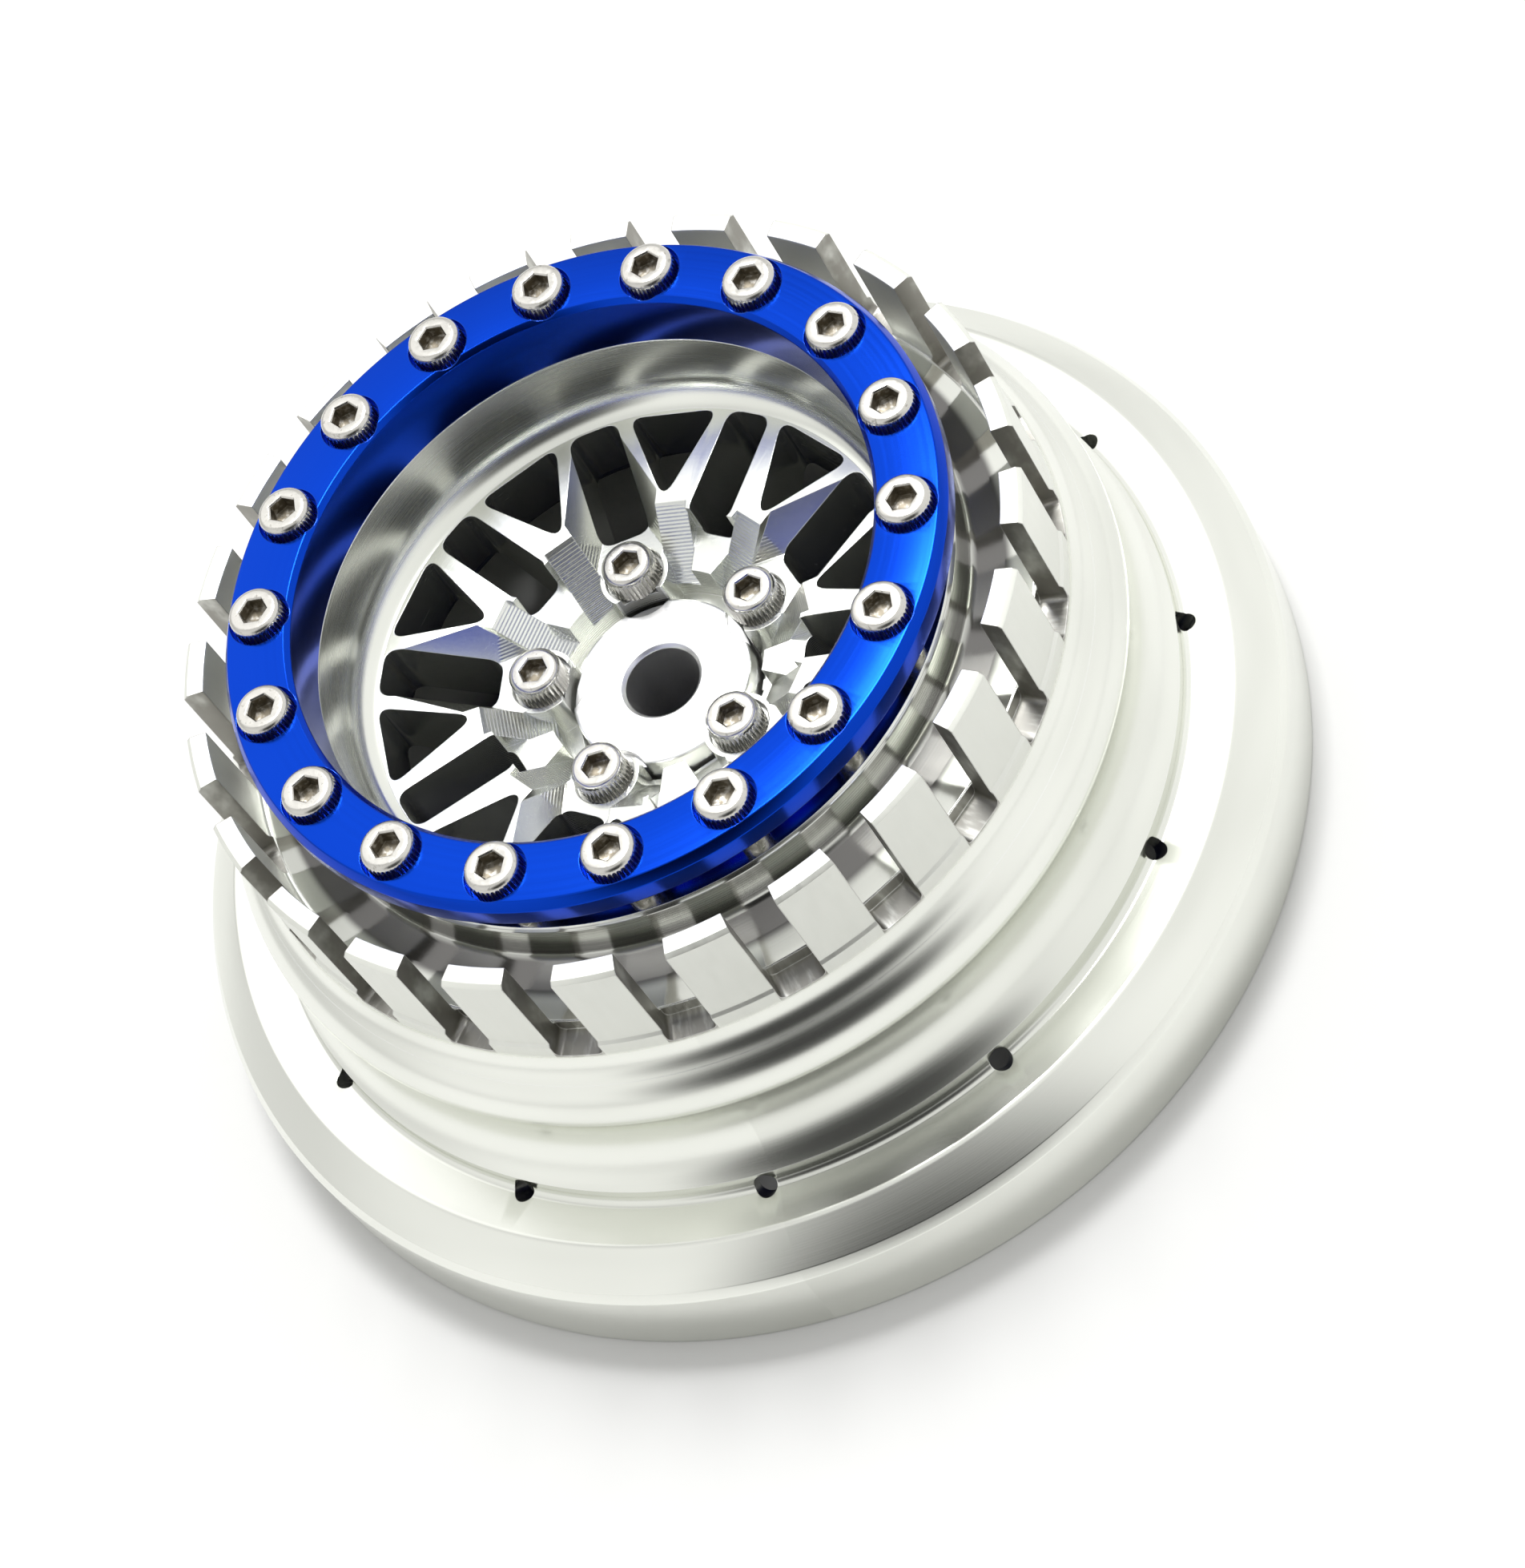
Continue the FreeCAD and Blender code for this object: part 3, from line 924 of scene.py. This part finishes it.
@dataclass
class Spokes:
    """Forked spokes cut from a plate: stems as ramps cut by a mill between flat pads, bosses and windows."""

    segments: int = 360
    hole: float = 7.8
    ring: float = 22.2
    split: float = 13.8
    split_height: float = 26.85
    face: float = 27.45
    ramp_foot: float = 20.55
    pad: float = 24.1
    back: float = 17.95
    back_radius: float = 12.91
    root: float = 23.7
    root_back: float = 22.65
    arms: int = 10
    short_start: float = 13.16
    short_width: float = 4.3
    bevel_end: float = 20.9
    bevel_lean: float = 1.2
    long_start: float = 12.61
    long_width: float = 3.8
    long_pad_end: float = 13.06
    slot_corner: float = 1.2
    arm_tip: float = 1.05
    fork: float = 14.1
    fork_corner: float = 0.85
    stem_in: float = 0.7
    stem_out: float = 1.95
    recess: float = 9.2
    pocket: float = 2.55
    boss: float = 2.9
    past: float = 1.0

    def plate(self) -> Object:
        """Plate before anything is cut: arms falling from the shelf to the split, flat inside it.

        Returns:
            The object.
        """
        walk = Section()
        start = self.hole - 2 * self.past
        walk.line(start, self.back).line(self.back_radius, self.back, 0.3).line(self.root, self.root_back)
        walk.line(self.root, self.face).line(self.ring, self.face).line(self.split, self.split_height)
        walk.line(start, self.split_height)
        return mesh_object("rim_spokes", revolve(walk.points(), self.segments))

    def window(self, corners: np.ndarray, corner: float) -> Solid:
        """Cutter of one window, right through, with rounded corners.

        Args:
            corners: outline (n, 2), counter-clockwise.
            corner: rounding of its corners, mm.
        Returns:
            Points and faces.
        """
        outline = rounded(corners, np.full(len(corners), corner), 6)
        return prism(outline, self.back - self.past, self.face + self.past)

    def slot_window(self, start: float, width: float) -> Solid:
        """Straight window between two forks.

        Args:
            start: radius of its inner end, mm.
            width: its width, mm.
        Returns:
            Points and faces.
        """
        half = width / 2
        end = math.sqrt(self.ring ** 2 - half ** 2)
        corners = np.array([(start, -half), (end, -half), (end, half), (start, half)])
        return self.window(corners, self.slot_corner)

    def fork_window(self, left: float, right: float) -> Solid:
        """Three-cornered window inside a fork, an arm's width away from the straight ones.

        Args:
            left: width of the straight window on the side of rising angles, mm.
            right: width of the other one, mm.
        Returns:
            Points and faces.
        """
        pitch = math.pi / self.arms
        low = -(pitch - math.asin((right / 2 + self.arm_tip) / self.ring))
        high = pitch - math.asin((left / 2 + self.arm_tip) / self.ring)
        turn = np.array([low, high])
        outer = self.ring * np.column_stack((np.cos(turn), np.sin(turn)))
        return self.window(np.vstack(([(self.fork, 0.0)], outer)), self.fork_corner)

    def stem_side(self, reach: np.ndarray, stem_edge: float) -> np.ndarray:
        """Where the side of a stem lies, seen from the middle between two stems.

        At the distance x along that middle it lies x tan p - stem_edge / cos p away, p being half the
        pitch of the stems.

        Args:
            reach: distances from the axis, mm.
            stem_edge: distance of the side from the axis of the stem, mm.
        Returns:
            Distances from the middle, mm.
        """
        pitch = math.pi / self.arms
        return reach * math.tan(pitch) - stem_edge / math.cos(pitch)

    def pad_pocket(self) -> Solid:
        """Cutter down to the pad at the inner end of a long window; its sides run along the stems.

        Returns:
            Points and faces.
        """
        reach = np.array([self.hole - self.past, self.long_pad_end])
        across = self.stem_side(reach, self.stem_out)
        corners = np.column_stack((reach[[0, 1, 1, 0]], across[[0, 1, 1, 0]] * np.array([-1, -1, 1, 1])))
        return prism(corners, self.pad, self.face + 1.2 * self.past)

    def bevel_pocket(self) -> Solid:
        """Cutter down to the pad at a hub screw, with a bevel up each arm that fades out at the shelf.

        Its floor is the higher of the pad and of k + c x + l |y|, where c is the climb along the arm, l
        the lean across it, and k lets the bevel start from the pad at the corner of the window. Four
        stations along x, at the ends and where flat and bevel vanish, hold six points each.

        Returns:
            Points and faces.
        """
        half = self.short_width / 2
        climb = (self.face - self.pad) / (self.bevel_end - self.short_start)
        keel = self.pad - climb * self.short_start - self.bevel_lean * half
        pitch = math.pi / self.arms
        side_climb = climb + self.bevel_lean * math.tan(pitch)
        bevel_start = (self.pad - keel + self.bevel_lean * self.stem_in / math.cos(pitch)) / side_climb
        flat_end = (self.pad - keel) / climb
        x = np.array([self.hole - self.past, bevel_start, flat_end, self.bevel_end])
        side = self.stem_side(x, self.stem_in)
        flat = np.clip((self.pad - keel - climb * x) / self.bevel_lean, 0.0, side)
        floor = np.maximum(self.pad, keel + climb * x)
        crease = np.maximum(self.pad, keel + climb * x + self.bevel_lean * side)
        top = np.full(4, crease.max() + self.past)
        y = np.column_stack((-side, -side, -flat, flat, side, side))
        z = np.column_stack((top, crease, floor, floor, crease, top))
        points = np.stack((np.repeat(x[:, None], 6, axis=1), y, z), axis=-1).reshape(-1, 3) * MM
        faces = grid_faces(4, 6, False).tolist()
        return points, faces + [list(range(5, -1, -1)), list(range(18, 24))]

    def ramp(self, near: float, far: float) -> Solid:
        """Cutter above the slope of one stem, from one edge of the stem to the other.

        Args:
            near: edge on the side of falling angles, mm from the stem's axis.
            far: edge on the other side, mm.
        Returns:
            Points and faces.
        """
        slope = (self.split_height - self.ramp_foot) / (self.split - self.hole)
        start, top = self.hole - self.past, self.face + 1.1 * self.past
        outline = np.array([(top, start), (top, self.split), (self.split_height, self.split),
                            (self.ramp_foot - slope * self.past, start)])
        points, faces = prism(outline, near, far)
        return points[:, [1, 2, 0]], faces

    def boss_cup(self) -> Solid:
        """Boss under one hub screw: a turned cup whose floor is the screw's seat.

        Returns:
            Points and faces.
        """
        walk = Section()
        hair, middle = 0.06, 0.05
        foot, seat, wall = self.back + 0.5, HUB_SCREWS.seat - hair, self.pocket - hair
        walk.line(middle, foot).line(self.boss, foot).line(self.boss, self.pad - hair)
        walk.line(wall, self.pad - hair).line(wall, seat).line(middle, seat)
        points, faces = revolve(walk.points(), 72)
        return points + np.array([HUB_SCREWS.circle * MM, 0.0, 0.0]), faces.tolist()

    def ring_of(self, name: str, solid: Solid, first: float) -> Object:
        """Copies of a tool about the axis, one for every second arm.

        Args:
            name: name of the tool.
            solid: points and faces of one copy.
            first: angle of the first copy, degrees.
        Returns:
            One object with all of them.
        """
        tool = mesh_object(name, spun_shell(solid, self.arms // 2, first))
        merge_doubles(tool.data)
        return tool

    def build(self, finish: Material) -> None:
        """Makes the spokes and dresses them.

        Args:
            finish: the alloy.
        """
        plate, ring_of = self.plate(), self.ring_of
        first, pitch = HUB_SCREWS.first, 360.0 / self.arms
        left, right, between = first + pitch / 2, first - pitch / 2, first + pitch
        top, hair = self.face + self.past, 0.02
        recess = prism(round_outline(self.recess, 180), self.ramp_foot - 2 * hair, top)
        combine(plate, [
            ring_of("short_window", self.slot_window(self.short_start, self.short_width), first),
            ring_of("long_window", self.slot_window(self.long_start, self.long_width), between),
            ring_of("fork_left", self.fork_window(self.long_width, self.short_width), left),
            ring_of("fork_right", self.fork_window(self.short_width, self.long_width), right),
            ring_of("short_pad", self.bevel_pocket(), first),
            ring_of("long_pad", self.pad_pocket(), between),
            ring_of("ramp_left", self.ramp(-self.stem_in - hair, self.stem_out + hair), left),
            ring_of("ramp_right", self.ramp(-self.stem_out - hair, self.stem_in + hair), right),
            mesh_object("nose_recess", recess),
        ], Operation.CUT)
        pockets = prism(round_outline(self.pocket, 90, HUB_SCREWS.circle), HUB_SCREWS.seat, top + hair)
        combine(plate, [ring_of("pockets", pockets, first)], Operation.CUT)
        combine(plate, [ring_of("bosses", self.boss_cup(), first)], Operation.JOIN)
        hub_hole = prism(round_outline(self.hole, 180), self.back - self.past, top)
        combine(plate, [mesh_object("hub_hole", hub_hole)], Operation.CUT)
        smooth(plate)
        install(plate, Node.RIM, Slot.RIM, finish)


@dataclass
class ClampRing:
    """Blue clamp ring with a pilot sleeve and counterbored screw holes."""

    segments: int = 432
    inner: float = 23.85
    sleeve: float = 24.95
    outer: float = 29.55
    foot: float = 34.75
    under: float = 37.75
    top: float = 40.25
    bore: float = 2.5

    def build(self, finish: Material) -> None:
        """Makes the ring and dresses it.

        Args:
            finish: the blue anodise.
        """
        walk = Section()
        walk.line(self.inner, self.foot, 0.1).line(self.sleeve, self.foot, 0.1)
        walk.line(self.sleeve, self.under, 0.3).line(self.outer, self.under, 0.15)
        walk.line(self.outer, self.top - 0.8, 0.2).line(self.outer - 0.5, self.top, 0.2)
        walk.line(self.inner + 0.4, self.top, 0.1).line(self.inner, self.top - 0.4, 0.1)
        ring = mesh_object("ring_body", revolve(walk.points(), self.segments))
        bore = prism(round_outline(self.bore, 64, RING_SCREWS.circle), RING_SCREWS.seat, self.top + 1.0)
        tool = mesh_object("bore_tool", spun_shell(bore, RING_SCREWS.count, RING_SCREWS.first))
        combine(ring, [tool], Operation.CUT)
        smooth(ring)
        install(ring, Node.RING, Slot.RING, finish)


@dataclass
class CapScrews:
    """A circle of socket cap screws with ribbed heads."""

    screws: ScrewCircle
    head: float = 2.2
    shank: float = 1.2
    key: float = 2.0
    socket: float = 1.25
    ribs: int = 36
    rib_depth: float = 0.14
    steps_a_rib: int = 4
    sharp: float = 35.0

    def stations(self) -> tuple[np.ndarray, np.ndarray, np.ndarray, np.ndarray]:
        """Rings of points from the screw's end over the head to the socket floor.

        Returns:
            Radius, height, share of hexagon and share of rib of each ring.
        """
        seat, top = self.screws.seat, self.screws.top
        end, floor = seat - self.screws.length, top - self.socket
        hexagon = self.key / math.sqrt(3)
        rows = np.array([
            (0.0, end, 0, 0), (self.shank - 0.2, end, 0, 0), (self.shank, end + 0.2, 0, 0),
            (self.shank, seat, 0, 0), (self.head - 0.12, seat, 0, 0), (self.head, seat + 0.12, 0, 1),
            (self.head, top - 0.62, 0, 1), (self.head - 0.03, top - 0.42, 0, 0.15),
            (self.head - 0.10, top - 0.24, 0, 0), (self.head - 0.22, top - 0.10, 0, 0),
            (self.head - 0.42, top - 0.01, 0, 0), (self.head - 0.50, top, 0, 0),
            (hexagon + 0.22, top, 0.75, 0), (hexagon + 0.12, top - 0.01, 1, 0), (hexagon, top - 0.14, 1, 0),
            (hexagon, floor, 1, 0), (hexagon - 0.05, floor, 1, 0), (0.0, floor - 0.25, 0, 0)])
        return rows[:, 0], rows[:, 1], rows[:, 2], rows[:, 3]

    def shell(self) -> Shell:
        """One screw: ring radius times a hexagon where the key goes, less the ribs on the head's side.

        A hexagon with unit corners has the radius cos(30) / cos(a), a being the angle from the nearest
        flat; ribs lower the radius by a raised cosine.

        Returns:
            Points in metres and quads.
        """
        radius, height, hexagon, rib = (row[:, None] for row in self.stations())
        turn = np.linspace(0.0, 2 * np.pi, self.ribs * self.steps_a_rib, endpoint=False)[None, :]
        sixth = np.pi / 3
        from_flat = np.mod(turn, sixth) - sixth / 2
        flat = np.cos(sixth / 2) / np.cos(from_flat)
        groove = self.rib_depth * 0.5 * (1.0 - np.cos(self.ribs * turn))
        reach = radius * (1.0 + hexagon * (flat - 1.0)) - rib * groove
        points = np.stack((reach * np.cos(turn) + self.screws.circle, reach * np.sin(turn),
                           np.broadcast_to(height, reach.shape)), axis=-1)
        return points.reshape(-1, 3) * MM, grid_faces(len(radius), turn.shape[1], False)

    def build(self, finish: Material) -> None:
        """Makes all the screws as one piece and dresses them.

        Args:
            finish: the stainless.
        """
        points, faces = self.shell()
        count = self.screws.count
        copies = spun(points, count, self.screws.first).reshape(-1, 3)
        shift = (np.arange(count) * len(points))[:, None, None]
        screws = mesh_object(self.screws.piece, (copies, (faces[None] + shift).reshape(-1, 4)))
        merge_doubles(screws.data)
        smooth(screws, self.sharp)
        install(screws, self.screws.node, Slot.SCREW, finish)


@dataclass
class Hub:
    """Hub with its nose through the spokes, screw flange behind and hex socket at the back."""

    segments: int = 256
    nose: float = 7.5
    top: float = 22.55
    face: float = 17.95
    back: float = 14.75
    tail: float = 7.95
    flange: float = 12.61
    tail_radius: float = 9.0
    bore: float = 3.1
    key: float = 12.0
    key_depth: float = 5.0
    relief: float = 3.1
    relief_depth: float = 0.6

    def build(self, finish: Material) -> None:
        """Makes the hub and dresses it.

        Args:
            finish: the turned alloy of the hub.
        """
        walk = Section()
        walk.line(self.bore, self.tail, 0.1).line(self.tail_radius, self.tail, 0.4)
        walk.line(self.tail_radius, self.back, 0.4).line(self.flange, self.back, 0.3)
        walk.line(self.flange, self.face, 0.2).line(self.nose, self.face, 0.2).line(self.nose, self.top, 0.25)
        walk.line(self.bore + 0.3, self.top, 0.1).line(self.bore, self.top - 0.3, 0.1)
        hub = mesh_object("hub_body", revolve(walk.points(), self.segments))
        relief_cut = prism(round_outline(self.relief, 48, HUB_SCREWS.circle),
                           self.top - self.relief_depth, self.top + 1.0)
        relief = mesh_object("relief_tool", spun_shell(relief_cut, HUB_SCREWS.count, HUB_SCREWS.first))
        hexagon = round_outline(self.key / math.sqrt(3), 6)
        socket = mesh_object("key_tool", prism(hexagon, self.tail - 1.0, self.tail + self.key_depth))
        combine(hub, [relief, socket], Operation.CUT)
        smooth(hub)
        install(hub, Node.HUB, Slot.HUB, finish)


@dataclass(frozen=True)
class Patch:
    """Round patch on the surroundings: its direction and its radii, in degrees."""

    turn: float
    rise: float
    wide: float
    core: float

    def mask(self, way: tuple[Value, Value, Value]) -> Value:
        """Share of the patch in a direction, from the cosine of the angle to its middle.

        Args:
            way: the three parts of the direction looked in.
        Returns:
            1 in the core, falling to 0 at the rim.
        """
        about, up = math.radians(self.turn), math.radians(self.rise)
        towards = (way[0] * (math.cos(up) * math.cos(about)) + way[1] * (math.cos(up) * math.sin(about))
                   + way[2] * math.sin(up))
        return towards.step(math.cos(math.radians(self.wide)), math.cos(math.radians(self.core)))


@dataclass(frozen=True)
class Studio:
    """White table, soft light from above and the camera of the photograph."""

    eye: tuple[float, float, float] = (-219.08, -93.39, 320.25)
    aim: tuple[float, float, float] = (-11.23, -6.46, 20.9)
    roll: float = 36.03
    lens: float = 111.536
    sensor: float = 36.0
    table: Colour = (0.725, 0.725, 0.721, 1.0)
    table_half: float = 3.0
    # Painted shade: a dark disc on the table under the wheel, fading out between two radii.
    painted_shade: Colour = (0.015, 0.015, 0.035, 1.0)
    painted_shade_edge: tuple[float, float] = (36.0, 28.0)
    key_place: tuple[float, float, float] = (0.47, -0.04, 1.105)
    key_size: float = 0.4
    key_watts: float = 10.5
    tint: Colour = (1.0, 1.0, 0.985, 1.0)
    top_light: float = 0.68
    low_light: float = 0.75
    holder: Patch = Patch(186.0, 28.0, 40.0, 14.0)
    darkness: float = 0.94
    windows: tuple[tuple[Patch, float], ...] = (
        (Patch(285.0, 35.0, 85.0, 10.0), 0.34),
        (Patch(125.0, 34.0, 45.0, 12.0), 0.28),
        (Patch(48.0, 42.0, 26.0, 8.0), 0.70))

    def camera(self) -> None:
        """Sets the camera: it looks from eye to aim, its up turned to the right by roll."""
        eye, aim = Vector(self.eye) * MM, Vector(self.aim) * MM
        forward = (aim - eye).normalized()
        right = forward.cross(Vector((0, 0, 1))).normalized()
        upright = right.cross(forward)
        lean = math.radians(self.roll)
        up = upright * math.cos(lean) + right * math.sin(lean)
        side = forward.cross(up)
        data = bpy.data.cameras.new("camera")
        data.lens = self.lens
        data.sensor_width = self.sensor
        data.sensor_fit = "AUTO"
        data.clip_start = 0.01
        camera = bpy.data.objects.new("camera", data)
        turn = Matrix((side, up, -forward)).transposed()
        camera.matrix_world = Matrix.Translation(eye) @ turn.to_4x4()
        bpy.context.scene.collection.objects.link(camera)
        bpy.context.scene.camera = camera

    def floor(self) -> None:
        """Lays a wide pale table under the wheel, with painted shade: dark where the wheel hides it."""
        half = self.table_half
        corners = np.array([(-half, -half, 0), (half, -half, 0), (half, half, 0), (-half, half, 0)], float)
        table = mesh_object("table", (corners, np.array([[0, 1, 2, 3]])))
        recipe = Recipe.material("table_white")
        # Painted shade: the table turns dark under the wheel.
        colour = recipe.mix(recipe.place().radius.step(*self.painted_shade_edge), self.table, self.painted_shade)
        diffuse = recipe.node("ShaderNodeBsdfDiffuse", None, {"Color": colour})
        recipe.close(diffuse, "ShaderNodeOutputMaterial")
        table.data.materials.append(recipe.owner)

    def lamp(self) -> None:
        """Hangs the key lamp, a soft square that faces the wheel."""
        data = bpy.data.lights.new("key_lamp", "AREA")
        data.size = self.key_size
        data.energy = self.key_watts
        lamp = bpy.data.objects.new("key_lamp", data)
        lamp.location = self.key_place
        lamp.rotation_euler = (-Vector(self.key_place)).to_track_quat("-Z", "Y").to_euler()
        bpy.context.scene.collection.objects.link(lamp)

    def world(self) -> None:
        """Soft surroundings with brighter windows, dark where the camera and its holder stand."""
        world = bpy.data.worlds.new("studio")
        recipe = Recipe(world)
        way = recipe.axes(recipe.node("ShaderNodeTexCoord", output="Object"))
        level = self.low_light + (self.top_light - self.low_light) * way[2].step(0.0, 0.9)
        for window, light in self.windows:
            level = level + light * window.mask(way)
        level = level * (1.0 - self.darkness * self.holder.mask(way))
        shader = recipe.node("ShaderNodeBackground", None, {"Color": self.tint, "Strength": level})
        recipe.close(shader, "ShaderNodeOutputWorld")
        bpy.context.scene.world = world

    def build(self) -> None:
        """Sets up camera, table and light."""
        scene = bpy.context.scene
        scene.view_settings.view_transform = "Standard"
        self.camera()
        self.floor()
        self.world()
        self.lamp()


def main() -> None:
    """Builds every piece, sets the studio and notes the sizes."""
    logging.basicConfig(level=logging.INFO)
    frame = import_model()
    LOG.info("frame has %d nodes", len(frame["nodes"]))
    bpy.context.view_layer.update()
    alloy = TurnedAlloy().make()
    Rim().build(alloy)
    Spokes().build(alloy)
    ClampRing().build(BlueAnodise().make())
    CapScrews(RING_SCREWS).build(Stainless(RING_SCREWS).make())
    Hub().build(FineTurned().make())
    CapScrews(HUB_SCREWS).build(Stainless(HUB_SCREWS).make())
    Studio().build()


if __name__ == "__main__":
    main()
